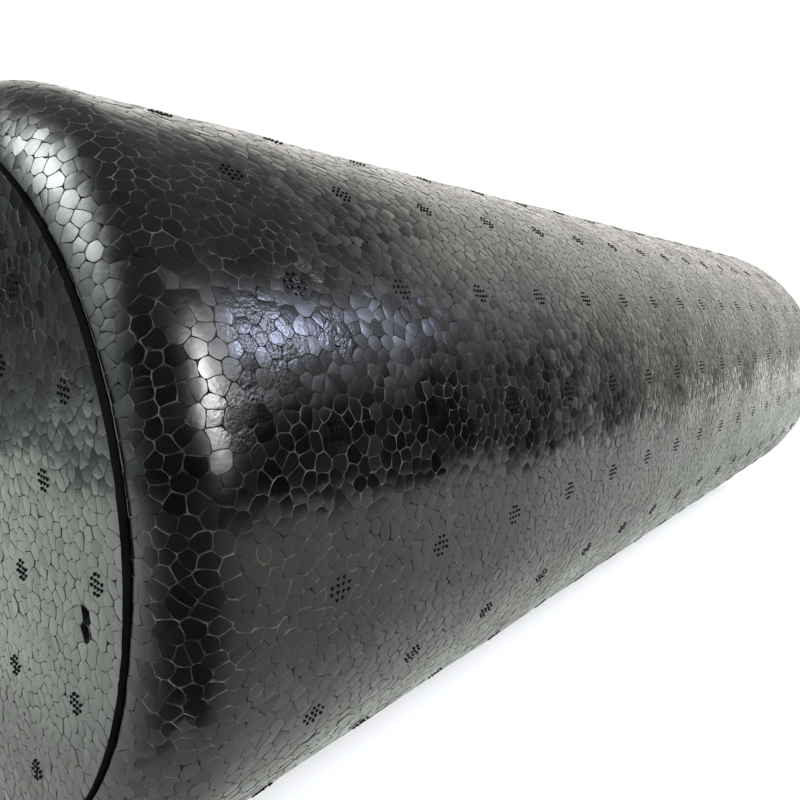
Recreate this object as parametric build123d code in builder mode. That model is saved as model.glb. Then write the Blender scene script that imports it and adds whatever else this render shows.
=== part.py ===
"""Moulded bead-foam massage roller, 6 in across and 18 in long, lying on its side.

Frame: millimetres. X runs along the roller's axis, Z is up, and the origin is on the resting
surface, under the middle of the roller.

The roller is three pieces of the same foam: a solid body with a rounded rim and a shallow round
seat at each end, and a flat disc in each seat. A disc stands a little proud of the rim. A rebate
around its outer edge leaves an open seam between the disc and the body.
"""
import os

from build123d import *

os.makedirs("parts", exist_ok=True)

INCH = 25.4

# Driving dimensions
overall_length = 18 * INCH
roller_radius = 3 * INCH
rim_rounding = 0.5 * INCH  # quarter-round between the end face and the cylinder
disc_thickness = 0.5 * INCH
disc_proud = 0.8  # how far a disc's face stands out past the rim
seam_width = 0.9
seam_depth = 3.0

# Worked out from them
body_length = overall_length - 2 * disc_proud
seat_radius = roller_radius - rim_rounding + seam_width
seat_depth = disc_thickness - disc_proud


def section_plane(x):
    """Plane square to the roller's axis at x, centred on the axis, facing +X."""
    return Plane(origin=(x, 0, roller_radius), x_dir=(0, 1, 0), z_dir=(1, 0, 0))


# Body: a cylinder with rounded rims and a blind round seat in each end.
with BuildPart() as roller_body:
    with BuildSketch(section_plane(-body_length / 2)):
        Circle(roller_radius)
    extrude(amount=body_length)
    fillet(roller_body.edges().filter_by(GeomType.CIRCLE), radius=rim_rounding)
    with BuildSketch(section_plane(-body_length / 2), section_plane(body_length / 2 - seat_depth)):
        Circle(seat_radius)
    extrude(amount=seat_depth, mode=Mode.SUBTRACT)

roller_body.part.label = "roller_body"
export_step(roller_body.part, "parts/roller_body.step")


def end_disc(inner_x, outward):
    """Disc that fills the seat and stands proud, with the seam's rebate around its outer edge.

    inner_x is where its inner face meets the seat's floor, and outward is +1 or -1 along X.
    """
    with BuildPart() as disc:
        with BuildSketch(section_plane(inner_x)):
            Circle(seat_radius)
        extrude(amount=outward * (seat_depth - seam_depth))
        with BuildSketch(section_plane(inner_x + outward * (seat_depth - seam_depth))):
            Circle(seat_radius - seam_width)
        extrude(amount=outward * (seam_depth + disc_proud))
    return disc


seat_floor = body_length / 2 - seat_depth
for name, outward in (("near_end_disc", -1), ("far_end_disc", 1)):
    disc = end_disc(outward * seat_floor, outward)
    disc.part.label = name
    export_step(disc.part, f"parts/{name}.step")
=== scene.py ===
"""Looks of a moulded bead-foam massage roller, with every expanded bead modelled on the skin.

The skin of each piece is laid out flat and cut into bead cells. The cells get grooves, pin-holes
and vent prints, and the skin is wrapped back round the piece. Lengths are in millimetres until
a mesh is made.
"""
import math

import bpy
import numpy as np
from mathutils import Matrix, Vector
from mathutils.geometry import delaunay_2d_cdt


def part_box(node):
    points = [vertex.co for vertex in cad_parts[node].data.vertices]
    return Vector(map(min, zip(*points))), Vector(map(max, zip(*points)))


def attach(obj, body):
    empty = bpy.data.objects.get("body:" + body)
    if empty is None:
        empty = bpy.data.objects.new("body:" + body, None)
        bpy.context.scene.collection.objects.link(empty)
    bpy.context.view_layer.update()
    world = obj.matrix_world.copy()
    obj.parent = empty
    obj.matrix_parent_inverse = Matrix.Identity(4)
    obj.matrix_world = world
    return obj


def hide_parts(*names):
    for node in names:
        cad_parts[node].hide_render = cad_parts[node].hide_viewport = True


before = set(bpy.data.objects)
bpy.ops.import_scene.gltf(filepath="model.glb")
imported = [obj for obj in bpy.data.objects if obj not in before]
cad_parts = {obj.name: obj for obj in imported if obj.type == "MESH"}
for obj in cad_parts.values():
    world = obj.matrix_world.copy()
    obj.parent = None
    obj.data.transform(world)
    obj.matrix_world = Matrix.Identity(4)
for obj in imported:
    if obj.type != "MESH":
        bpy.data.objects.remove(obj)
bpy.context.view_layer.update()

MM = 0.001
TAU = 2.0 * math.pi

# ------------------------ sizes from the frame
disc_low, disc_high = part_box("near_end_disc")
body_low, body_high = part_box("roller_body")
RADIUS = (body_high.z - body_low.z) / 2 / MM
AXIS_Z = RADIUS
HALF_DISC = -disc_low.x / MM            # outer face of an end disc
HALF_BODY = body_high.x / MM            # end of the rim
SEAT_X = -disc_high.x / MM              # bottom of the seat
SEAT_R = (disc_high.z - disc_low.z) / 2 / MM
RIM = 12.7                              # quarter-round of the rim
SEAM = 0.9                              # width of the seam round a disc
STEP = 3.0                              # depth of the seam below the rim
DISC_SWELL = 0.3                        # how far a disc's foam swells into the seam
DISC_R = SEAT_R - SEAM + DISC_SWELL
DISC_LIP = 0.22                         # how far a disc's border stands up
BODY_EASE, DISC_EASE = 0.45, 0.35       # depth in which the uneven borders become round

# ------------------------ layout of the beads
BEAD, DISC_BEAD = 2.9, 2.6              # across a bead of the body, and of a disc
ROW = 0.866                             # between rows of a close-packed grid, in beads
BEAD_JITTER = 0.27                      # how far beads stray from the grid, in beads
BODY_STRAY, DISC_STRAY = 1.6, 1.3       # and the most they do along an axis
SETTLE = 0.75                           # how far they then go towards their cell's middle
DISC_MARGIN = 0.7                       # from a disc's border to the middle of a bead
LOW_MARGIN, HIGH_MARGIN = 0.9, 1.0      # the same from the body's two borders,
MARGIN_SPREAD = 0.5                     # and up to this much more at the low one
OVERLAP = 16.0                          # band of the body's skin repeated past its join
BORDER_BAND = 14.0                      # band of beads mirrored outside a border
MERGE = 0.15                            # cell edges shorter than this close up
BODY_SEED, NEAR_SEED, FAR_SEED = 20, 31, 32

# ------------------------ grooves and bead tops
CORNER_DEPTH = 0.20                     # where three beads meet
EDGE_DEPTH = 0.12                       # between two beads
BORDER_DEPTH = 0.10                     # along the border of a skin
CORNER_SPREAD = (0.6, 1.4)              # least and most of its depth that a place has
EDGE_SPREAD = (0.25, 1.5)
BORDER_SPREAD, BORDER_EDGE_SPREAD = (0.4, 1.6), (0.0, 1.6)
CORNER_IN = 0.155                       # half-widths where three beads meet,
EDGE_IN = 0.062                         # between two beads
BORDER_IN = 0.14                        # and at corners on a border
EDGE_SHARE = (0.35, 1.6)                # least and most of its width that an edge has
CORNER_SIDE, EDGE_SIDE = (0.8, 1.25), (0.8, 1.2)      # and that each bead at it has
SHORT_EDGE = 0.7                        # edges far shorter than this are as wide as corners
MOST_IN = 0.45                          # the most, of the way to the bead's middle
DISC_GROOVES = 0.65                     # width of a disc's grooves against the body's
EDGE_BEND, MOST_BEND = 0.055, 0.12      # bow of an edge, in lengths of the edge
PIT_SHARE, PIN_SHARE = 0.24, 0.018      # share of corners that are pits, and pin-holes
PIT_DEPTH, PIN_DEPTH = (0.35, 0.65), (0.8, 1.3)
PIT_IN, PIN_IN = 0.05, 0.15             # how much wider they are than other corners
TORN_DEPTH = 1.0                        # hollow of a torn bead
LIFT, TILT = 0.028, 0.020               # spread of the beads' heights and slopes
DOME = (0.01, 0.05)                     # height of their crowns
EDGE_DROP = 0.015                       # from a bead's level down to its own edge
BODY_WAVES, DISC_WAVES = 0.16, 0.10     # height of the skin's low swells

# ------------------------ vent prints
NUB_PITCH, DISC_NUB_PITCH = 1.22, 0.98  # between nubs of one print, body and disc
NUB_FOOT, NUB_TOP = 0.33, 0.21          # radius at the foot and at the top
NUB_HEIGHT = 0.27
FOOT_SPREAD, HEIGHT_SPREAD = (0.92, 1.1), (0.75, 1.2)
NUB_STRAY = 0.05                        # how far nubs stray, in pitches
NUB_CROWN = 0.02                        # of the height, the rounding of the top
NUB_DIP = 0.010                         # depth of the ground between nubs
NUB_SINK = 0.012                        # and of their feet
PRINT_ROOM = (1.6, 0.27)                # kept clear round a print, in pitches plus beads
PRINT_PITCH, PRINT_COUNT = 26.573, 16   # along a row
ROW_ANGLE, ROW_COUNT = 18.5, 10         # degrees between rows, in each half of the mould
HALF_CENTRES = (178.25, 358.25)         # degrees to the middle of each half
DISC_TURN = 0.12                        # turn of the prints on a disc, in radians
DISC_RINGS = ((54.0, 14, 132.0), (37.0, 12, 168.0), (18.5, 6, 150.0))   # radius, vents, start
RING_CLEAR = 9.0                        # between the vents of the rings and those off them
# Vents of a disc that are off its rings, (y, z) from its centre
DISC_PRINTS = ((-34.5, 37.3), (-49.5, 21.8), (-55.9, -5.2), (-41.0, 7.7), (-30.8, -8.9))

# ------------------------ places on the flat map
BODY_U = (0.01, 0.86)                   # start and size of the body's skin, along
MAP_V = (0.02, 0.96)                    # and across, as of every strip of wall
BODY_STRIPS = {-1: (0.88, 0.93), 1: (0.94, 0.99)}     # start and end of the strips, along
DISC_STRIP = (0.89, 0.99)
DISC_UV = (0.44, 0.42)                  # middle and half-size of a disc's skin


# ------------------------ bead cells
def wrap(values, period):
    """The values brought into 0..period, or as they are where the period is 0."""
    return values - np.floor(values / period) * period if period else values


def circle_centres(points):
    """Delaunay triangles of the points, and the centre of the circle round each."""
    result = delaunay_2d_cdt([Vector(p) for p in points.tolist()], [], [], 0, 1e-9)
    order = np.array([numbers[0] for numbers in result[3]])
    tri = order[np.array(result[2])]
    a, b, c = points[tri[:, 0]], points[tri[:, 1]], points[tri[:, 2]]
    ab, ac = b - a, c - a
    cross = 2.0 * (ab[:, 0] * ac[:, 1] - ab[:, 1] * ac[:, 0])
    good = np.abs(cross) > 1e-6
    tri, a, ab, ac, cross = tri[good], a[good], ab[good], ac[good], cross[good]
    ab2, ac2 = (ab ** 2).sum(1), (ac ** 2).sum(1)
    centre = a + np.stack([ac[:, 1] * ab2 - ab[:, 1] * ac2,
                           ab[:, 0] * ac2 - ac[:, 0] * ab2], 1) / cross[:, None]
    return tri, centre


def side_by_side(tri, size):
    """Pairs of triangles that share a side."""
    pairs = np.concatenate([tri[:, (0, 1)], tri[:, (1, 2)], tri[:, (2, 0)]])
    pairs.sort(axis=1)
    owner = np.tile(np.arange(len(tri)), 3)
    code = pairs[:, 0] * size + pairs[:, 1]
    rank = np.argsort(code, kind="stable")
    code, owner = code[rank], owner[rank]
    same = np.nonzero(code[1:] == code[:-1])[0]
    return owner[same], owner[same + 1]


def joined(count, one, two):
    """For each of count things, the lowest number that the pairs join it to."""
    label = np.arange(count)
    while True:
        before = label.copy()
        lowest = np.minimum(label[one], label[two])
        np.minimum.at(label, one, lowest)
        np.minimum.at(label, two, lowest)
        label = label[label]
        if (label == before).all():
            return label


def neighbours(cell, count):
    """Index of the next and of the previous entry of the same cell."""
    number = np.bincount(cell, minlength=count)
    end = np.cumsum(number)
    start = end - number
    index = np.arange(len(cell))
    after = np.where(index + 1 == end[cell], start[cell], index + 1)
    before = np.where(index == start[cell], end[cell] - 1, index - 1)
    return after, before


class Cells:
    """Voronoi cells of the sites, with shared corners and edges.

    The cells are one list of entries: a run for each cell, with an entry for each of its corners
    in order. cell and corner say whose an entry is, after is the next entry of the same cell,
    and edge is the edge between the two. at and at_next are the places of those two corners on
    the cell's own side of the join of a skin that goes all the way round.
    """

    def __init__(self, sites, ghosts, period, snap):
        self.sites, self.count = sites, len(sites)
        self.period, self.snap = period, snap
        points = np.vstack([sites, ghosts])
        original = np.arange(len(points))
        if period:
            low = np.nonzero(points[:, 1] < OVERLAP)[0]
            high = np.nonzero(points[:, 1] > period - OVERLAP)[0]
            points = np.vstack([points, points[low] + (0, period), points[high] - (0, period)])
            original = np.concatenate([original, original[low], original[high]])
        tri, centre = circle_centres(points)
        size = len(points) + 1
        corner = self.find_corners(original[tri], centre, size)
        one, two = side_by_side(tri, size)
        near = np.linalg.norm(centre[one] - centre[two], axis=1) < MERGE
        label = joined(len(self.corners), corner[one[near]], corner[two[near]])
        kept, corner = np.unique(label[corner], return_inverse=True)
        self.corners, self.border = self.corners[kept], self.border[kept]
        corner = self.drop_unused(tri, corner)
        self.list_entries(points, tri, centre, corner)
        self.list_edges(size)
        self.at = self.unwrapped(self.corners[self.corner], sites[self.cell])
        self.at_next = self.unwrapped(self.corners[self.corner[self.after]], sites[self.cell])
        number = np.bincount(self.cell, minlength=self.count)
        self.middle = np.stack([np.bincount(self.cell, self.at[:, i], self.count) / number
                                for i in (0, 1)], 1)

    def find_corners(self, owners, centre, size):
        """One corner for each set of three cells, whichever of their copies it is between."""
        ids = np.sort(owners, axis=1)
        ghost_count = (ids >= self.count).sum(1)
        on_border = (ghost_count > 0) & (ghost_count < 3)
        key = (ids[:, 0] * size + ids[:, 1]) * size + ids[:, 2]
        key = key + np.where(on_border, 0, size ** 3)         # corners on the border come first
        _, first, corner = np.unique(key, return_index=True, return_inverse=True)
        self.corners, self.border = centre[first].copy(), on_border[first]
        self.corners[self.border] = self.snap(self.corners[self.border])
        self.corners[:, 1] = wrap(self.corners[:, 1], self.period)
        return corner

    def drop_unused(self, tri, corner):
        """Keeps only the corners of the sites' own cells."""
        used = np.unique(np.repeat(corner, 3)[tri.ravel() < self.count])
        self.corners, self.border = self.corners[used], self.border[used]
        return np.searchsorted(used, corner).clip(0, len(used) - 1)

    def list_entries(self, points, tri, centre, corner):
        cell = tri.ravel()
        mine = cell < self.count
        cell, corner = cell[mine], np.repeat(corner, 3)[mine]
        away = np.repeat(centre, 3, axis=0)[mine] - points[cell]
        rank = np.lexsort((np.arctan2(away[:, 1], away[:, 0]), cell))
        cell, corner = cell[rank], corner[rank]
        _, before = neighbours(cell, self.count)
        keep = corner != corner[before]
        self.cell, self.corner = cell[keep], corner[keep]
        self.after, _ = neighbours(self.cell, self.count)

    def list_edges(self, size):
        pair = np.sort(np.stack([self.corner, self.corner[self.after]], 1), axis=1)
        code = pair[:, 0] * size + pair[:, 1]
        _, first, self.edge = np.unique(code, return_index=True, return_inverse=True)
        self.edge_ends = pair[first]
        self.edge_border = self.border[self.edge_ends].all(1)

    def unwrapped(self, places, near):
        """The places on the same side of the join as the near ones."""
        if not self.period:
            return places
        out = places.copy()
        out[:, 1] += self.period * np.round((near[:, 1] - out[:, 1]) / self.period)
        return out


def settled(sites, is_nub, period, snap, ghosts):
    """Cells after each bead has moved most of the way to the middle of its own cell."""
    cells = Cells(sites, ghosts(sites), period, snap)
    moved = sites + SETTLE * (cells.middle - sites) * ~is_nub[:, None]
    moved[:, 1] = wrap(moved[:, 1], period)
    return Cells(moved, ghosts(moved), period, snap)


class Waves:
    """Low swells of the moulded skin. They meet at the join of a whole skin, one that goes
    all the way round, whose second axis is as long as the span."""

    COUNT = 12
    LENGTH = 42.0                       # of the shortest, along a skin's first axis

    def __init__(self, rng, span, whole, amount):
        turns = rng.integers(2, 11, self.COUNT)
        self.across = turns if whole else turns * rng.uniform(0.8, 1.2, self.COUNT)
        self.along = rng.uniform(-1, 1, self.COUNT) / self.LENGTH
        self.phase = rng.uniform(0, TAU, self.COUNT)
        self.size = amount * rng.uniform(0.5, 1.0, self.COUNT) / 3.0
        self.span = span

    def __call__(self, p):
        total = np.zeros(len(p))
        for n, f, a, h in zip(self.across, self.along, self.phase, self.size):
            total += h * np.sin(TAU * (n * p[:, 1] / self.span + f * p[:, 0]) + a)
        return total


def strayed(rng, grid, bead, most):
    """The grid's places, each moved a little at random."""
    return grid + rng.normal(0, BEAD_JITTER * bead, grid.shape).clip(-most, most)


def print_sites(rng, centres, pitch, turn=0.0):
    """The twelve nubs, two-four-four-two, that a vent leaves at each centre."""
    steps = (np.arange(4) - 1.5) * pitch
    grid = np.array([(u, v) for i, u in enumerate(steps) for j, v in enumerate(steps)
                     if not (i in (0, 3) and j in (0, 3))])
    c, s = math.cos(turn), math.sin(turn)
    grid = grid @ np.array([[c, s], [-s, c]])
    return np.vstack([centre + grid + rng.normal(0, NUB_STRAY * pitch, grid.shape)
                      for centre in centres])


def print_room(pitch, bead):
    """How far ordinary beads stay from the middle of a vent print."""
    return PRINT_ROOM[0] * pitch + PRINT_ROOM[1] * bead


def clear_of(sites, centres, distance, period):
    """The sites that are further than the distance from every centre."""
    keep = np.ones(len(sites), bool)
    for centre in centres:
        gap = sites - centre
        if period:
            gap[:, 1] -= period * np.round(gap[:, 1] / period)
        keep &= (gap ** 2).sum(1) > distance ** 2
    return sites[keep]


def with_nubs(sites, nubs):
    """The beads and then the nubs as one list of sites, and which of them are nubs."""
    is_nub = np.concatenate([np.zeros(len(sites), bool), np.ones(len(nubs), bool)])
    return np.vstack([sites, nubs]), is_nub


def nearest(points, target):
    return int(((points - np.array(target)) ** 2).sum(1).argmin())


# ------------------------ meshes from cells
class Builder:
    """Collects points and faces, each face with a material and a place on the flat map."""

    def __init__(self):
        self.points, self.faces = [], []
        self.total = 0

    def add(self, xyz):
        """Adds points and returns their numbers."""
        start = self.total
        self.points.append(np.asarray(xyz, float))
        self.total += len(xyz)
        return start + np.arange(len(xyz))

    def face(self, loops, uvs, material, smooth, tone=0.5):
        """loops (n, 3 or 4) point numbers and uvs (n, 3 or 4, 2)."""
        number = len(loops)
        self.faces.append((np.asarray(loops), np.asarray(uvs, float),
                           np.broadcast_to(material, number), np.broadcast_to(smooth, number),
                           np.broadcast_to(tone, number)))

    def mesh(self, name, flip, materials):
        """The piece made of everything collected, turned inside out if flip is true."""
        points = np.vstack(self.points)
        loops, uvs, sizes, slots, smooth, tones = [], [], [], [], [], []
        for loop, uv, slot, soft, tone in self.faces:
            if flip:
                loop, uv = loop[:, ::-1], uv[:, ::-1]
            loops.append(loop.ravel())
            uvs.append(uv.reshape(-1, 2))
            sizes.append(np.full(len(loop), loop.shape[1]))
            slots.append(slot)
            smooth.append(soft)
            tones.append(tone)
        loops, uvs, sizes = np.concatenate(loops), np.concatenate(uvs), np.concatenate(sizes)
        mesh = bpy.data.meshes.new(name)
        mesh.vertices.add(len(points))
        mesh.vertices.foreach_set("co", (points * MM).astype(np.float32).ravel())
        mesh.loops.add(len(loops))
        mesh.loops.foreach_set("vertex_index", loops.astype(np.int32))
        mesh.polygons.add(len(sizes))
        start = np.concatenate([[0], np.cumsum(sizes)[:-1]])
        mesh.polygons.foreach_set("loop_start", start.astype(np.int32))
        for material in materials:
            mesh.materials.append(material)
        mesh.polygons.foreach_set("material_index", np.concatenate(slots).astype(np.int32))
        mesh.update(calc_edges=True)
        soft = np.concatenate(smooth)
        mesh.polygons.foreach_set("use_smooth", soft)
        self.mark_sharp(mesh, np.repeat(soft, sizes))
        layer = mesh.uv_layers.new(name="OFBake")
        layer.data.foreach_set("uv", uvs.astype(np.float32).ravel())
        tone = mesh.attributes.new("bead_tone", "FLOAT", "FACE")
        tone.data.foreach_set("value", np.concatenate(tones).astype(np.float32))
        mesh.validate()
        mesh.update()
        piece = bpy.data.objects.new(name, mesh)
        bpy.context.scene.collection.objects.link(piece)
        return piece

    @staticmethod
    def mark_sharp(mesh, soft_loops):
        """An edge is sharp unless both of its faces are smooth."""
        edge = np.empty(len(soft_loops), np.int32)
        mesh.loops.foreach_get("edge_index", edge)
        crisp = np.bincount(edge, soft_loops, len(mesh.edges)) < 1.5
        mesh.attributes.new("sharp_edge", "BOOLEAN", "EDGE").data.foreach_set("value", crisp)


# The WALL slot holds near-black, barely reflecting paint: painted shade.
TOP, GROOVE, WALL = 0, 1, 2             # material slots of every piece


class Skin:
    """Lays bead cells on a piece.

    place((n, 2), height) gives points in space and flat((n, 2)) gives places on the flat map.
    A cell's outline is its corners and a point near the middle of each edge, down in the groove.
    ring0 and ring1 are the same corners and middles moved in and up to the bead's own edge, and
    the hub is the middle of its top. Neighbours share the outline, so the skin is closed.
    """

    def __init__(self, build, cells, rng, waves, place, flat, is_nub, groove_width=1.0,
                 pins=(), torn=()):
        self.build, self.cells, self.rng, self.waves = build, cells, rng, waves
        self.place, self.flat = place, flat
        self.is_nub, self.nub = is_nub, is_nub[cells.cell]
        self.torn = np.zeros(cells.count, bool)
        self.torn[list(torn)] = True
        self.corner_wide, self.edge_wide = CORNER_IN * groove_width, EDGE_IN * groove_width
        self.lay_corners(pins)
        self.lay_edges()
        self.shape_tops()
        self.lay_rings()
        self.lay_hubs()
        self.face_grooves()
        self.face_tops()
        self.face_nubs()

    def lay_corners(self, pins):
        """Corners shared by three cells. Some are pits, and a few are pin-holes."""
        cells, rng = self.cells, self.rng
        count = len(cells.corners)
        by_nub = np.zeros(count, bool)
        by_nub[cells.corner[self.nub]] = True
        depth = CORNER_DEPTH * rng.uniform(*CORNER_SPREAD, count)
        chance = rng.random(count)
        free = ~by_nub & ~cells.border
        pit = free & (chance < PIT_SHARE)
        pin = free & (chance < PIN_SHARE)
        pin[list(pins)] = True
        depth[pit] = rng.uniform(*PIT_DEPTH, pit.sum())
        depth[pin] = rng.uniform(*PIN_DEPTH, pin.sum())
        depth[by_nub] = NUB_DIP
        height = -depth + self.waves(cells.corners)
        height[cells.border] = -BORDER_DEPTH * rng.uniform(*BORDER_SPREAD, cells.border.sum())
        self.corner_point = self.build.add(self.place(cells.corners, height))
        self.by_nub, self.pit, self.pin = by_nub, pit, pin

    def lay_edges(self):
        """Middles of shared edges, a little to one side so that few edges are straight."""
        cells, rng, on_border = self.cells, self.rng, self.cells.edge_border
        ends = cells.corners[cells.edge_ends[:, 0]]
        other = cells.unwrapped(cells.corners[cells.edge_ends[:, 1]], ends)
        along = other - ends
        side = np.stack([-along[:, 1], along[:, 0]], 1)
        count = len(along)
        bend = rng.normal(0, EDGE_BEND, count).clip(-MOST_BEND, MOST_BEND)
        bend[on_border] = 0.0
        middle = (ends + other) / 2 + side * bend[:, None]
        depth = EDGE_DEPTH * rng.uniform(*EDGE_SPREAD, count)
        self.edge_share = rng.uniform(*EDGE_SHARE, count)
        depth[self.by_nub[cells.edge_ends].all(1)] = NUB_DIP
        height = -depth + self.waves(middle)
        height[on_border] = -BORDER_DEPTH * rng.uniform(*BORDER_EDGE_SPREAD, on_border.sum())
        if on_border.any():
            middle[on_border] = cells.snap(middle[on_border])
        self.edge_point = self.build.add(self.place(middle, height))
        self.edge_at = cells.unwrapped(middle[cells.edge], cells.sites[cells.cell])

    def shape_tops(self):
        """Each bead's own height, slope, crown and tone. The ground of a nub is level."""
        count, rng = self.cells.count, self.rng
        self.lift = rng.normal(0, LIFT, count)
        self.tilt = rng.normal(0, TILT, (count, 2))
        self.dome = rng.uniform(*DOME, count)
        self.tone = rng.random(count)
        for values in (self.lift, self.tilt, self.dome):
            values[self.is_nub] = 0.0

    def moved_in(self, at, inset):
        """Places and heights of the bead's own edge, in from its outline."""
        cells, cell = self.cells, self.cells.cell
        to = cells.middle[cell] - at
        reach = np.linalg.norm(to, axis=1)
        spot = at + to / reach[:, None] * np.minimum(inset, reach * MOST_IN)[:, None]
        off = spot - cells.middle[cell]
        slope = (self.tilt[cell] * off).sum(1)
        return spot, self.lift[cell] - EDGE_DROP + slope + self.waves(spot)

    def round_site(self, at, radius):
        """Places on a circle round each entry's own site, in the direction of at."""
        cells = self.cells
        to = at - cells.sites[cells.cell]
        return cells.sites[cells.cell] + to / np.linalg.norm(to, axis=1)[:, None] * radius

    def lay_rings(self):
        """The bead's own edge, or the foot of a nub."""
        cells, rng, nub = self.cells, self.rng, self.nub
        count = len(cells.cell)
        corner_in = self.corner_wide * rng.uniform(*CORNER_SIDE, count)
        corner_in = np.where(self.pit[cells.corner], corner_in + PIT_IN, corner_in)
        corner_in = np.where(self.pin[cells.corner], corner_in + PIN_IN, corner_in)
        corner_in = np.where(cells.border[cells.corner], BORDER_IN, corner_in)
        edge_in = self.edge_wide * self.edge_share[cells.edge] * rng.uniform(*EDGE_SIDE, count)
        length = np.linalg.norm(cells.at_next - cells.at, axis=1)
        extra = self.corner_wide - self.edge_wide
        edge_in = edge_in + extra * np.exp(-(length / SHORT_EDGE) ** 2)
        self.at0, high0 = self.moved_in(cells.at, corner_in)
        self.at1, high1 = self.moved_in(self.edge_at, edge_in)
        foot = NUB_FOOT * rng.uniform(*FOOT_SPREAD, cells.count)[cells.cell][:, None]
        for at, high, outline in ((self.at0, high0, cells.at), (self.at1, high1, self.edge_at)):
            at[nub] = self.round_site(outline, foot)[nub]
            high[nub] = self.waves(at[nub]) - NUB_SINK
        self.ring0 = self.build.add(self.place(self.at0, high0))
        self.ring1 = self.build.add(self.place(self.at1, high1))

    def lay_hubs(self):
        """The middle of each bead's or nub's top."""
        cells, is_nub = self.cells, self.is_nub
        high = self.lift + self.dome + self.waves(cells.middle)
        high[self.torn] = -TORN_DEPTH
        self.hub_at = np.where(is_nub[:, None], cells.sites, cells.middle)
        self.nub_high = NUB_HEIGHT * self.rng.uniform(*HEIGHT_SPREAD, cells.count)
        high[is_nub] = (self.waves(self.hub_at) + self.nub_high)[is_nub]
        self.hub = self.build.add(self.place(self.hub_at, high))

    def face_grooves(self):
        """Slopes from the outline up to the bead's own edge, and the ground of the nubs."""
        cells, after = self.cells, self.cells.after
        self.uv0, self.uv1 = self.flat(self.at0), self.flat(self.at1)
        corner_uv, next_uv = self.flat(cells.at), self.flat(cells.at_next)
        edge_uv = self.flat(self.edge_at)
        corner, middle = self.corner_point[cells.corner], self.edge_point[cells.edge]
        slot = np.where(self.nub, TOP, GROOVE)
        for loops, uvs in (
            ((corner, middle, self.ring1, self.ring0), (corner_uv, edge_uv, self.uv1, self.uv0)),
            ((middle, corner[after], self.ring0[after], self.ring1),
             (edge_uv, next_uv, self.uv0[after], self.uv1)),
        ):
            self.build.face(np.stack(loops, 1), np.stack(uvs, 1), slot, False,
                            self.tone[cells.cell])

    def face_tops(self):
        """Tops of the beads, smooth unless the bead is torn."""
        cell, after, bead = self.cells.cell, self.cells.after, ~self.nub
        hub, hub_uv = self.hub[cell], self.flat(self.hub_at)[cell]
        torn, tone = self.torn[cell][bead], self.tone[cell][bead]
        # A torn bead's hollow takes the near-black WALL paint: painted shade.
        slot = np.where(torn, WALL, TOP)
        for a, b, uv_a, uv_b in ((self.ring0, self.ring1, self.uv0, self.uv1),
                                 (self.ring1, self.ring0[after], self.uv1, self.uv0[after])):
            self.build.face(np.stack((a, b, hub), 1)[bead],
                            np.stack((uv_a, uv_b, hub_uv), 1)[bead], slot, ~torn, tone)

    def face_nubs(self):
        """Posts with nearly flat tops, one on the ground of each nub. Their sides are painted
        dark, as painted shade.
        """
        cells, cell, nub = self.cells, self.cells.cell, self.nub
        after = cells.after[nub]
        tone, hub = self.tone[cell][nub], self.hub[cell][nub]
        hub_uv = self.flat(self.hub_at)[cell][nub]
        tall = (self.waves(cells.sites)[cell] + self.nub_high[cell] - NUB_CROWN)[nub]
        up0 = self.round_site(cells.at, NUB_TOP)[nub]
        up1 = self.round_site(self.edge_at, NUB_TOP)[nub]
        post0 = self.build.add(self.place(up0, tall))
        post1 = self.build.add(self.place(up1, tall))
        number = np.full(len(cell), -1)
        number[nub] = np.arange(nub.sum())
        post2 = post0[number[after]]
        foot0, foot1, foot2 = self.ring0[nub], self.ring1[nub], self.ring0[after]
        foot_uv0, foot_uv1, foot_uv2 = self.uv0[nub], self.uv1[nub], self.uv0[after]
        post_uv0, post_uv1 = self.flat(up0), self.flat(up1)
        post_uv2 = post_uv0[number[after]]
        for loops, uvs in (
            ((foot0, foot1, post1, post0), (foot_uv0, foot_uv1, post_uv1, post_uv0)),
            ((foot1, foot2, post2, post1), (foot_uv1, foot_uv2, post_uv2, post_uv1)),
        ):
            # sides of the posts: near-black WALL paint, painted shade
            self.build.face(np.stack(loops, 1), np.stack(uvs, 1), WALL, False, tone)
        for loops, uvs in (((post0, post1, hub), (post_uv0, post_uv1, hub_uv)),
                           ((post1, post2, hub), (post_uv1, post_uv2, hub_uv))):
            self.build.face(np.stack(loops, 1), np.stack(uvs, 1), TOP, True, tone)

    def border(self):
        """Numbers and flat places of the outline's points along the border."""
        cells = self.cells
        rim = cells.edge_border[cells.edge]
        corner = self.corner_point[cells.corner]
        return [(corner[rim], cells.at[rim]),
                (self.edge_point[cells.edge][rim], self.edge_at[rim]),
                (corner[cells.after][rim], cells.at_next[rim])]


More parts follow.
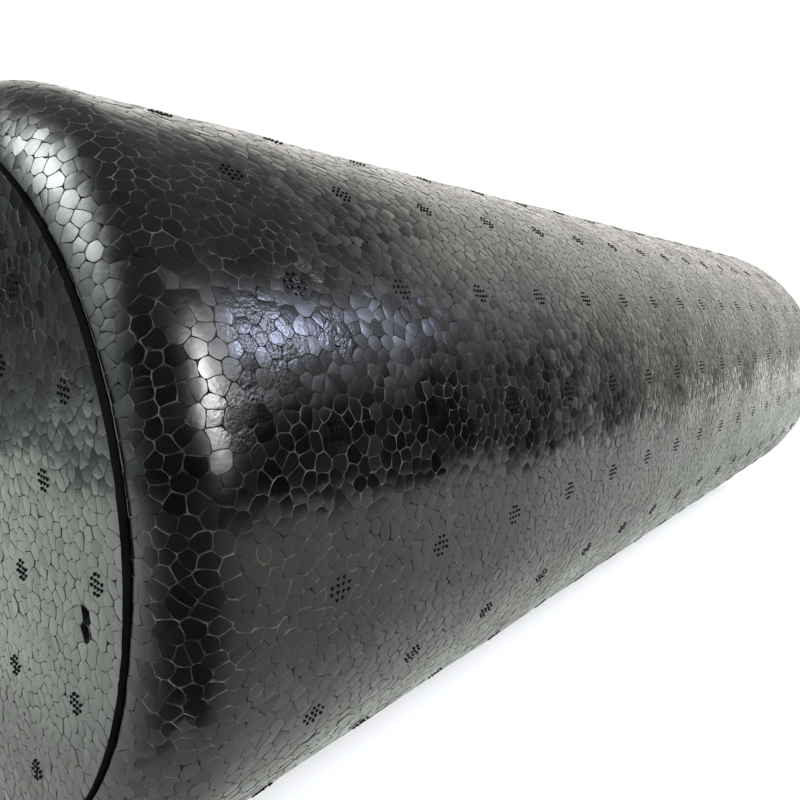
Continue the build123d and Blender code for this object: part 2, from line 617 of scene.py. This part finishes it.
def close_loop(build, points, turn, path, side, strip):
    """Closes a border with walls down a path of (x, r) and a fan on the axis. points are
    the border's numbers in order round the axis, and turn is their angles."""
    rings = [np.asarray(points)]
    for x, r in path[:-1]:
        xyz = np.stack([np.full(len(turn), x), r * np.cos(turn), AXIS_Z + r * np.sin(turn)], 1)
        rings.append(build.add(xyz))
    hub = build.add([(path[-1][0], 0.0, AXIS_Z)])[0]
    v = np.concatenate([turn, [turn[0] + TAU]]) / TAU * MAP_V[1] + MAP_V[0]
    u = np.linspace(strip[0], strip[1], len(rings) + 1)
    number = len(points)
    here, there = np.arange(number), (np.arange(number) + 1) % number

    def face(loops, uvs, smooth):
        loops, uv = np.stack(loops, 1), np.stack(uvs, 1)
        if side < 0:
            loops, uv = loops[:, ::-1], uv[:, ::-1]
        # These walls, the seam among them, take the near-black WALL paint: painted shade.
        build.face(loops, uv, WALL, smooth)

    def at(ring, along):
        return np.stack([np.full(number, u[ring]), along], 1)

    for k in range(len(rings) - 1):
        outer, inner = rings[k], rings[k + 1]
        face((outer[there], outer[here], inner[here], inner[there]),
             (at(k, v[here + 1]), at(k, v[here]), at(k + 1, v[here]), at(k + 1, v[here + 1])),
             k > 1)
    face((rings[-1][there], rings[-1][here], np.full(number, hub)),
         (at(-2, v[here + 1]), at(-2, v[here]), at(-1, (v[here] + v[here + 1]) / 2)), False)


def in_order(border, angle_of):
    """The border's points once each, in order of angle."""
    numbers = np.concatenate([n for n, _ in border])
    places = np.concatenate([p for _, p in border])
    numbers, first = np.unique(numbers, return_index=True)
    angle = wrap(angle_of(places[first]), TAU)
    rank = np.argsort(angle)
    return numbers[rank], angle[rank]


# ------------------------ the body
def body_prints(arc, around):
    """Middles of the vent prints: the same rows in both halves of the mould."""
    offsets = [(row - (ROW_COUNT - 1) / 2) * ROW_ANGLE for row in range(ROW_COUNT)]
    return np.array([(arc + HALF_BODY - RIM + (k - (PRINT_COUNT - 1) / 2) * PRINT_PITCH,
                      wrap(math.radians(middle + offset) * RADIUS, around))
                     for middle in HALF_CENTRES for offset in offsets
                     for k in range(PRINT_COUNT)])


def body_sites(rng, arc, span, around):
    """Beads in uneven close-packed rows, and the nubs of the vent prints among them."""
    rows = 2 * round(around / (BEAD * ROW) / 2)
    columns = round(span / BEAD)
    pitch_s, pitch_t = span / columns, around / rows
    grid = np.array([((i + 0.25 + 0.5 * (j % 2)) * pitch_s, (j + 0.5) * pitch_t)
                     for j in range(rows) for i in range(columns)])
    sites = strayed(rng, grid, BEAD, BODY_STRAY)
    lowest = LOW_MARGIN + rng.random(len(sites)) * MARGIN_SPREAD
    sites[:, 0] = sites[:, 0].clip(lowest, span - HIGH_MARGIN)
    sites[:, 1] = wrap(sites[:, 1], around)
    centres = body_prints(arc, around)
    sites = clear_of(sites, centres, print_room(NUB_PITCH, BEAD), around)
    sites, is_nub = with_nubs(sites, print_sites(rng, centres, NUB_PITCH))
    sites[:, 1] = wrap(sites[:, 1], around)
    return sites, is_nub


def make_body(materials):
    """The skin's first axis runs along the wall from rim to rim, and its second one round."""
    rng = np.random.default_rng(BODY_SEED)
    around = TAU * RADIUS
    arc_start = math.asin(SEAM / RIM)
    arc = RIM * (math.pi / 2 - arc_start)
    span = 2 * (HALF_BODY - RIM) + 2 * arc

    def border_ghosts(p):
        low, high = p[p[:, 0] < BORDER_BAND], p[p[:, 0] > span - BORDER_BAND]
        return np.vstack([low * (-1, 1), high * (-1, 1) + (2 * span, 0)])

    def snap(p):
        out = p.copy()
        out[:, 0] = np.where(p[:, 0] < span / 2, 0.0, span)
        return out

    def place(p, height):
        """Round the rim, along the straight wall and round the other rim."""
        s, turn = p[:, 0], p[:, 1] / RADIUS
        from_end = np.minimum(s, span - s)
        side = np.where(s < span / 2, -1.0, 1.0)
        bend = np.minimum(arc_start + from_end / RIM, math.pi / 2)
        rest = np.maximum(from_end - arc, 0.0)
        x = HALF_BODY - RIM + (RIM + height) * np.cos(bend) - rest
        r = RADIUS - RIM + (RIM + height) * np.sin(bend)
        return np.stack([side * x, r * np.cos(turn), AXIS_Z + r * np.sin(turn)], 1)

    def flat(p):
        return np.stack([BODY_U[0] + BODY_U[1] * p[:, 0] / span,
                         MAP_V[0] + MAP_V[1] * p[:, 1] / around], 1)

    sites, is_nub = body_sites(rng, arc, span, around)
    cells = settled(sites, is_nub, around, snap, border_ghosts)
    waves = Waves(rng, around, True, BODY_WAVES)
    build = Builder()
    skin = Skin(build, cells, rng, waves, place, flat, is_nub)
    for side, strip in BODY_STRIPS.items():
        part = []
        for numbers, places in skin.border():
            here = (places[:, 0] < span / 2) == (side < 0)
            part.append((numbers[here], places[here]))
        numbers, turn = in_order(part, lambda p: p[:, 1] / RADIUS)
        path = ((side * (HALF_BODY - BODY_EASE), SEAT_R), (side * SEAT_X, SEAT_R),
                (side * SEAT_X, 0.0))
        close_loop(build, numbers, turn, path, side, strip)
    return build.mesh("foam_body", True, materials)


# ------------------------ the end discs
def ring_of(radius, number, start):
    return [(radius * math.cos(math.radians(start + k * 360 / number)),
             radius * math.sin(math.radians(start + k * 360 / number))) for k in range(number)]


def disc_prints():
    """Middles of the vent prints: those off the rings, and the rings and centre clear of them."""
    rings = [place for ring in DISC_RINGS for place in ring_of(*ring)] + [(0.0, 0.0)]
    return np.vstack([DISC_PRINTS,
                      clear_of(np.array(rings), np.array(DISC_PRINTS), RING_CLEAR, 0)])


def disc_sites(rng):
    """The same for a disc."""
    rows = int(2 * DISC_R / (DISC_BEAD * ROW)) + 3
    grid = np.array([((i + 0.5 * (j % 2)) * DISC_BEAD, j * DISC_BEAD * ROW)
                     for j in range(-rows // 2, rows // 2 + 1)
                     for i in range(-rows // 2, rows // 2 + 1)], float)
    sites = strayed(rng, grid, DISC_BEAD, DISC_STRAY)
    sites = sites[np.hypot(*sites.T) < DISC_R - DISC_MARGIN]
    centres = disc_prints()
    sites = clear_of(sites, centres, print_room(DISC_NUB_PITCH, DISC_BEAD), 0)
    return with_nubs(sites, print_sites(rng, centres, DISC_NUB_PITCH, DISC_TURN))


def make_disc(name, side, materials, pin_places, torn_places):
    """The skin's axes are y and z from the disc's centre."""
    rng = np.random.default_rng(NEAR_SEED if side < 0 else FAR_SEED)

    def border_ghosts(p):
        far = np.hypot(*p.T)
        near = far > DISC_R - BORDER_BAND
        return p[near] * ((2 * DISC_R - far[near]) / far[near])[:, None]

    def snap(p):
        return p * (DISC_R / np.hypot(*p.T))[:, None]

    def place(p, height):
        """Flat, with the border standing up a little."""
        raised = np.where(np.hypot(*p.T) > DISC_R - 1e-6, DISC_LIP + height, height)
        return np.stack([side * (HALF_DISC + raised), p[:, 0], AXIS_Z + p[:, 1]], 1)

    def flat(p):
        return DISC_UV[0] + DISC_UV[1] * p / (DISC_R + 0.5)

    sites, is_nub = disc_sites(rng)
    cells = settled(sites, is_nub, 0, snap, border_ghosts)
    beads_only = np.where(is_nub[:, None], 1e6, cells.middle)      # nubs put out of reach
    pins = [nearest(cells.corners, p) for p in pin_places]
    torn = [nearest(beads_only, p) for p in torn_places]
    waves = Waves(rng, 2 * DISC_R, False, DISC_WAVES)
    build = Builder()
    skin = Skin(build, cells, rng, waves, place, flat, is_nub, DISC_GROOVES, pins, torn)
    numbers, turn = in_order(skin.border(), lambda p: np.arctan2(p[:, 1], p[:, 0]))
    foot_x = side * (HALF_BODY - STEP)
    path = ((side * (HALF_DISC - DISC_EASE), DISC_R), (foot_x, DISC_R), (foot_x, SEAT_R),
            (side * SEAT_X, SEAT_R), (side * SEAT_X, 0.0))
    close_loop(build, numbers, turn, path, 1, DISC_STRIP)
    return build.mesh(name, side < 0, materials)


# ------------------------ shader nodes
class Nodes:
    """Adds nodes to an emptied tree. A value can be a number, a tuple or another socket."""

    def __init__(self, tree):
        tree.nodes.clear()
        self.tree = tree

    def new(self, kind, **settings):
        node = self.tree.nodes.new(kind)
        for key, value in settings.items():
            setattr(node, key, value)
        return node

    def put(self, socket, value):
        if isinstance(value, bpy.types.NodeSocket):
            self.tree.links.new(value, socket)
        else:
            socket.default_value = value

    def math(self, operation, *values):
        node = self.new("ShaderNodeMath", operation=operation)
        for socket, value in zip(node.inputs, values):
            self.put(socket, value)
        return node.outputs[0]

    def vector(self, operation, *values, scale=None):
        node = self.new("ShaderNodeVectorMath", operation=operation)
        for socket, value in zip(node.inputs, values):
            self.put(socket, value)
        if scale is not None:
            self.put(node.inputs["Scale"], scale)
        return node.outputs["Value" if operation == "DISTANCE" else "Vector"]

    def span(self, value, low, high, to_low=0.0, to_high=1.0, smooth=True):
        """Turns low..high into to_low..to_high, and holds its ends beyond them."""
        node = self.new("ShaderNodeMapRange",
                        interpolation_type="SMOOTHSTEP" if smooth else "LINEAR")
        for key, item in (("Value", value), ("From Min", low), ("From Max", high),
                          ("To Min", to_low), ("To Max", to_high)):
            self.put(node.inputs[key], item)
        return node.outputs["Result"]

    def mix(self, factor, a, b):
        node = self.new("ShaderNodeMix", data_type="RGBA")
        self.put(node.inputs["Factor"], factor)
        self.put(node.inputs[6], a)
        self.put(node.inputs[7], b)
        return node.outputs[2]

    def noise(self, coords, scale, detail=2.0, rough=0.5, distortion=0.0):
        node = self.new("ShaderNodeTexNoise")
        self.put(node.inputs["Vector"], coords)
        self.put(node.inputs["Scale"], scale)
        self.put(node.inputs["Detail"], detail)
        self.put(node.inputs["Roughness"], rough)
        self.put(node.inputs["Distortion"], distortion)
        return node.outputs["Fac"]

    def bump(self, height, distance, strength, normal=None):
        """distance is in metres."""
        node = self.new("ShaderNodeBump")
        node.inputs["Distance"].default_value = distance
        self.put(node.inputs["Strength"], strength)
        self.put(node.inputs["Height"], height)
        if normal is not None:
            self.put(node.inputs["Normal"], normal)
        return node.outputs[0]


# ------------------------ materials
FOAM_IOR = 1.5


def grey(value):
    return (value, value, value, 1)


def material(name):
    made = bpy.data.materials.new(name)
    made.use_nodes = True
    nodes = Nodes(made.node_tree)
    shader = nodes.new("ShaderNodeBsdfPrincipled")
    output = nodes.new("ShaderNodeOutputMaterial")
    nodes.put(output.inputs["Surface"], shader.outputs[0])
    coords = nodes.new("ShaderNodeTexCoord").outputs["Object"]
    return made, nodes, shader, coords


def bead_material(name, scuffs):
    """Skinned tops of the beads: near-black, glossy and faintly crinkled. Worn places and the
    scuffs, each a place and a radius, are strongly crinkled, some beads more than others."""
    made, nodes, shader, coords = material(name)
    tone = nodes.new("ShaderNodeAttribute", attribute_name="bead_tone").outputs["Fac"]
    broad = nodes.noise(coords, 55.0, 2.0)
    fine = nodes.noise(coords, 1600.0, 1.5, 0.55)
    crease = nodes.noise(coords, 700.0, 2.0, 0.5, 0.8)
    worn = nodes.span(broad, 0.62, 0.72)
    for place, radius in scuffs:
        near = nodes.vector("DISTANCE", coords, place)
        worn = nodes.math("MAXIMUM", worn, nodes.span(near, radius, radius * 0.35))
    worn = nodes.math("MULTIPLY", worn, nodes.span(tone, 0.3, 0.7, 0.25, 1.0))
    nodes.put(shader.inputs["Base Color"],
              nodes.mix(tone, (0.0008, 0.0009, 0.001, 1), (0.0022, 0.0019, 0.0016, 1)))
    rough = nodes.span(tone, 0.0, 1.0, 0.13, 0.24, smooth=False)
    rough = nodes.math("ADD", rough, nodes.span(broad, 0.3, 0.7, -0.02, 0.06))
    nodes.put(shader.inputs["Roughness"], rough)
    shader.inputs["IOR"].default_value = FOAM_IOR
    normal = nodes.bump(fine, 0.00011, nodes.span(worn, 0.0, 1.0, 0.05, 1.0, smooth=False))
    strength = nodes.span(worn, 0.0, 1.0, 0.15, 1.0, smooth=False)
    nodes.put(shader.inputs["Normal"], nodes.bump(crease, 0.0001, strength, normal))
    return made


def matte_material(name, dark, pale, rough, shine):
    """Dull foam: paler in the grooves. Near-black and barely reflecting in the seam, torn beads
    and sides of nubs, which is painted shade.
    """
    made, nodes, shader, coords = material(name)
    dust = nodes.noise(coords, 260.0, 3.0, 0.6)
    nodes.put(shader.inputs["Base Color"], nodes.mix(nodes.span(dust, 0.35, 0.7), dark, pale))
    nodes.put(shader.inputs["Roughness"], nodes.span(dust, 0.3, 0.7, rough - 0.06, rough + 0.08))
    shader.inputs["IOR"].default_value = FOAM_IOR
    shader.inputs["Specular IOR Level"].default_value = shine
    grain = nodes.noise(coords, 2200.0, 3.0, 0.6)
    nodes.put(shader.inputs["Normal"], nodes.bump(grain, 0.00003, 0.5))
    return made


def on_cylinder(from_end, turn):
    """A place on the cylinder, in metres: distance from the near disc's face, and angle."""
    angle = math.radians(turn)
    return ((from_end - HALF_DISC) * MM, RADIUS * math.cos(angle) * MM,
            (AXIS_Z + RADIUS * math.sin(angle)) * MM)


beads = bead_material("foam_beads", (
    (on_cylinder(19.5, 157.5), 0.010),
    (on_cylinder(32.0, 149.5), 0.006),
    (on_cylinder(34.0, 157.0), 0.006),
    (on_cylinder(13.5, 165.0), 0.007),
    (on_cylinder(300.0, 20.0), 0.012),
    (on_cylinder(150.0, 290.0), 0.015),
))
grooves = matte_material("foam_grooves", grey(0.009), (0.042, 0.039, 0.033, 1), 0.56, 0.36)
# near-black and barely reflecting: painted shade in the seam, torn beads and sides of nubs
shaded_walls = matte_material("foam_walls_painted_shade", grey(0.0004), grey(0.0015), 0.75, 0.06)
SKIN = (beads, grooves, shaded_walls)          # in the order of TOP, GROOVE and WALL

# ------------------------ the three pieces
body = make_body(SKIN)
near_disc = make_disc("end_disc_near", -1, SKIN,
                      pin_places=((-31.7, 24.9), (-31.5, 7.6), (-45.5, -3.9)),
                      torn_places=((-52.4, -9.6), (-51.2, -12.6)))
far_disc = make_disc("end_disc_far", 1, SKIN, pin_places=((22.0, -14.0),), torn_places=())

for piece, node, slot in ((body, "roller_body", "epp_body"),
                          (near_disc, "near_end_disc", "epp_disc"),
                          (far_disc, "far_end_disc", "epp_disc")):
    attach(piece, "root")
    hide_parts(node)

# ------------------------ floor
FLOOR_Z = -0.0004                       # under all but the lowest beads, in metres
floor_paint, _, floor_shader, _ = material("floor_paint")
floor_shader.inputs["Base Color"].default_value = grey(0.85)
floor_shader.inputs["Roughness"].default_value = 0.8
floor_shader.inputs["Specular IOR Level"].default_value = 0.0


def ground(name, x0, x1, y0, y1):
    outline = [(x0, y0, FLOOR_Z), (x1, y0, FLOOR_Z), (x1, y1, FLOOR_Z), (x0, y1, FLOOR_Z)]
    mesh = bpy.data.meshes.new(name)
    mesh.from_pydata(outline, [], [(0, 1, 2, 3)])
    mesh.materials.append(floor_paint)
    made = bpy.data.objects.new(name, mesh)
    bpy.context.scene.collection.objects.link(made)
    return made


# Only a strip of floor under the roller shows in it. Further out it mirrors the world instead.
floor = ground("floor", -4.0, 4.0, -4.0, 4.0)
floor.visible_glossy = False
mirrored_floor = ground("mirrored_floor", -0.26, 0.32, -0.09, 0.09)
mirrored_floor.visible_camera = False
mirrored_floor.visible_diffuse = False
mirrored_floor.visible_shadow = False


# ------------------------ light
world = bpy.data.worlds.new("studio")
bpy.context.scene.world = world
world.use_nodes = True
sky = Nodes(world.node_tree)
direction = sky.new("ShaderNodeTexCoord").outputs["Generated"]
parts = sky.new("ShaderNodeSeparateXYZ")
sky.put(parts.inputs[0], direction)
bearing = sky.math("DEGREES", sky.math("ARCTAN2", parts.outputs[1], parts.outputs[0]))
height = sky.math("DEGREES", sky.math("ARCSINE", parts.outputs[2]))


def off_bearing(middle):
    """Degrees from the middle to a direction's bearing, whichever way round is shorter."""
    return sky.math("PINGPONG", sky.math("SUBTRACT", bearing, middle), 180.0)


def faded(distance):
    return sky.math("EXPONENT", sky.math("MULTIPLY", distance, -1.0))


def lobe(middle, level, wide, high, power):
    """1 at a bearing and height in degrees, falling off softly over wide and high."""
    across = sky.math("POWER", sky.math("DIVIDE", off_bearing(middle), wide), power)
    up = sky.math("ABSOLUTE", sky.math("SUBTRACT", height, level))
    up = sky.math("POWER", sky.math("DIVIDE", up, high), power)
    return faded(sky.math("ADD", across, up))


def plus(total, colour, scale):
    return sky.vector("ADD", total, sky.vector("SCALE", colour, scale=scale))


SOURCES = (
    # bearing, height, width, depth, power, colour
    (141.0, 39.0, 18.5, 15.5, 2.4, (15.5, 16.7, 16.2)),       # softbox on the left
    (141.0, 12.0, 17.0, 14.0, 2.0, (1.9, 2.2, 2.1)),          # and faint light below it
    (259.5, 27.5, 11.5, 12.5, 2.2, (28.0, 28.0, 27.5)),       # lamp behind, on the right
    (279.0, 33.5, 35.0, 14.0, 3.0, (6.6, 6.8, 7.1)),          # and the wide glow round it
    (317.0, 33.5, 9.0, 7.0, 3.0, (2.8, 3.1, 4.4)),            # bluish light on the right
    (319.5, 34.0, 3.6, 3.6, 2.0, (20.0, 22.0, 31.0)),         # and its bright middle
    (30.0, 17.0, 49.5, 23.5, 6.0, (1.52, 1.47, 1.38)),        # pale backdrop
    (120.0, -19.0, 28.0, 14.0, 3.0, (0.62, 0.70, 0.63)),      # pale patch low on the left
)
total = (0.0, 0.0, 0.0)
for *shape, colour in SOURCES:
    total = plus(total, colour, lobe(*shape))
total = plus(total, (1.0, 1.0, 1.0), sky.span(height, 10.0, 62.0, 0.01, 0.25))      # ceiling

# The pale surface starts 10 degrees below the horizon, and at it behind the roller. It is dark
# round the photographer's bearing, and dimmer further down.
SURFACE = (1.16, 1.22, 1.14)
PHOTOGRAPHER, PHOTOGRAPHER_WIDTH, DARKENING = 212.0, 52.0, 0.94
edge = sky.span(off_bearing(205.0), 126.0, 150.0, -10.0, 0.0)
below = sky.span(sky.math("SUBTRACT", edge, height), -1.2, 1.2)
away = sky.math("DIVIDE", off_bearing(PHOTOGRAPHER), PHOTOGRAPHER_WIDTH)
shade = sky.math("MULTIPLY", faded(sky.math("POWER", away, 4.0)), DARKENING)
pale = sky.math("MULTIPLY", below, sky.math("SUBTRACT", 1.0, shade))
pale = sky.math("MULTIPLY", pale, sky.span(height, -38.0, -8.0, 0.70, 1.0))
total = plus(total, SURFACE, pale)

FLOOR_LIGHT = 1.9       # of diffuse rays: the pale floor and dark roller share one exposure
BACKDROP = 1.05         # what the camera sees behind them
lit = sky.new("ShaderNodeBackground")
sky.put(lit.inputs["Color"], total)
rays = sky.new("ShaderNodeLightPath")
extra = sky.math("MULTIPLY", rays.outputs["Is Diffuse Ray"], FLOOR_LIGHT - 1.0)
sky.put(lit.inputs["Strength"], sky.math("ADD", 1.0, extra))
plain = sky.new("ShaderNodeBackground")
plain.inputs["Color"].default_value = grey(1)
plain.inputs["Strength"].default_value = BACKDROP
choose = sky.new("ShaderNodeMixShader")
sky.put(choose.inputs[0], rays.outputs["Is Camera Ray"])
sky.put(choose.inputs[1], lit.outputs[0])
sky.put(choose.inputs[2], plain.outputs[0])
sky.put(sky.new("ShaderNodeOutputWorld").inputs[0], choose.outputs[0])

bpy.context.scene.view_settings.view_transform = "Standard"

# ------------------------ camera
CAMERA_AT = (-0.2730, -0.1485, 0.1080)
YAW, PITCH, ROLL = (math.radians(v) for v in (39.59, -6.66, -0.21))
ahead = Vector((math.cos(YAW) * math.cos(PITCH), math.sin(YAW) * math.cos(PITCH),
                math.sin(PITCH)))
right = Vector((math.sin(YAW), -math.cos(YAW), 0.0))
above = right.cross(ahead)
turned_right = right * math.cos(ROLL) + above * math.sin(ROLL)
turned_up = above * math.cos(ROLL) - right * math.sin(ROLL)
lens = bpy.data.cameras.new("camera")
lens.sensor_width = 36.0
lens.sensor_fit = "HORIZONTAL"
lens.lens = 30.91
lens.clip_start = 0.01
camera = bpy.data.objects.new("camera", lens)
bpy.context.scene.collection.objects.link(camera)
pose = Matrix((turned_right, turned_up, -ahead)).transposed().to_4x4()
pose.translation = CAMERA_AT
camera.matrix_world = pose
bpy.context.scene.camera = camera
